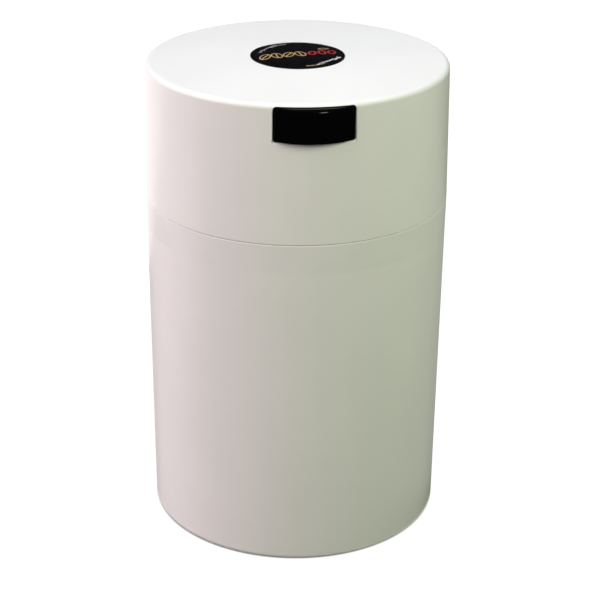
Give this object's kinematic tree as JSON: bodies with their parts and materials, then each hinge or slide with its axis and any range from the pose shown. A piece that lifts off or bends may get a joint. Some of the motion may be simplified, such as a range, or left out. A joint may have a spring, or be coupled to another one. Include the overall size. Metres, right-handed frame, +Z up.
{
  "type": "coffee canister",
  "caption": "Tall round white canister for coffee beans; its deep lid seals in the neck and has a push button that opens a sprung vent valve.",
  "frame": {"origin": "centre of the foot ring, on the surface that the canister stands on", "axes": "+Z up along the canister's axis, -Y towards the button, +X to the right as one faces the button"},
  "size_m": [0.12, 0.1224, 0.1931],
  "materials": {
    "body_plastic": "opaque white moulded plastic, glossy",
    "neck_plastic": "white moulded plastic, glossy",
    "lid_plastic": "opaque white moulded plastic, glossy",
    "cover_plastic": "natural white moulded plastic, satin to glossy",
    "silicone": "light grey silicone, smooth",
    "button_plastic": "black moulded plastic, glossy",
    "slide_plastic": "natural acetal, satin",
    "spring_steel": "drawn stainless wire",
    "valve_rubber": "dark soft rubber",
    "screw_steel": "zinc-plated steel",
    "badge_print": "printed black foil",
    "badge_resin": "clear domed resin"
  },
  "bodies": {
    "base": {"container_body": "body_plastic", "neck_ring": "neck_plastic"},
    "seal": {"lip_seal": "silicone"},
    "lid": {"lid_shell": "lid_plastic", "inner_cover": "cover_plastic", "valve_bridge": "cover_plastic", "bridge_screws": "screw_steel", "badge_foil": "badge_print", "badge_dome": "badge_resin", "valve_spring": "spring_steel", "button_spring_left": "spring_steel", "button_spring_right": "spring_steel"},
    "button": {"push_button": "button_plastic", "slide_bar": "slide_plastic"},
    "valve": {"valve_stem": "slide_plastic", "valve_disc": "valve_rubber"}
  },
  "joints": [
    {"name": "lid_lift", "type": "slide", "parent": "base", "child": "seal", "axis": [0, 0, 1], "range_m": [0, 0.05]},
    {"name": "lid_turn", "type": "hinge", "parent": "seal", "child": "lid", "pos_m": [0, 0, 0.1648], "axis": [0, 0, 1], "continuous": true},
    {"name": "button_press", "type": "slide", "parent": "lid", "child": "button", "axis": [0, 1, 0], "range_m": [0, 0.0035], "stiffness_N_per_m": 900, "springref_m": -0.0015, "deforming": ["button_spring_left", "button_spring_right"]},
    {"name": "valve_lift", "type": "slide", "parent": "lid", "child": "valve", "axis": [0, 0, 1], "range_m": [0, 0.0021], "stiffness_N_per_m": 500, "springref_m": -0.001, "deforming": ["valve_spring"]}
  ],
  "couplings": [
    {"joint": "valve_lift", "follows": "button_press", "ratio": 0.6}
  ]
}
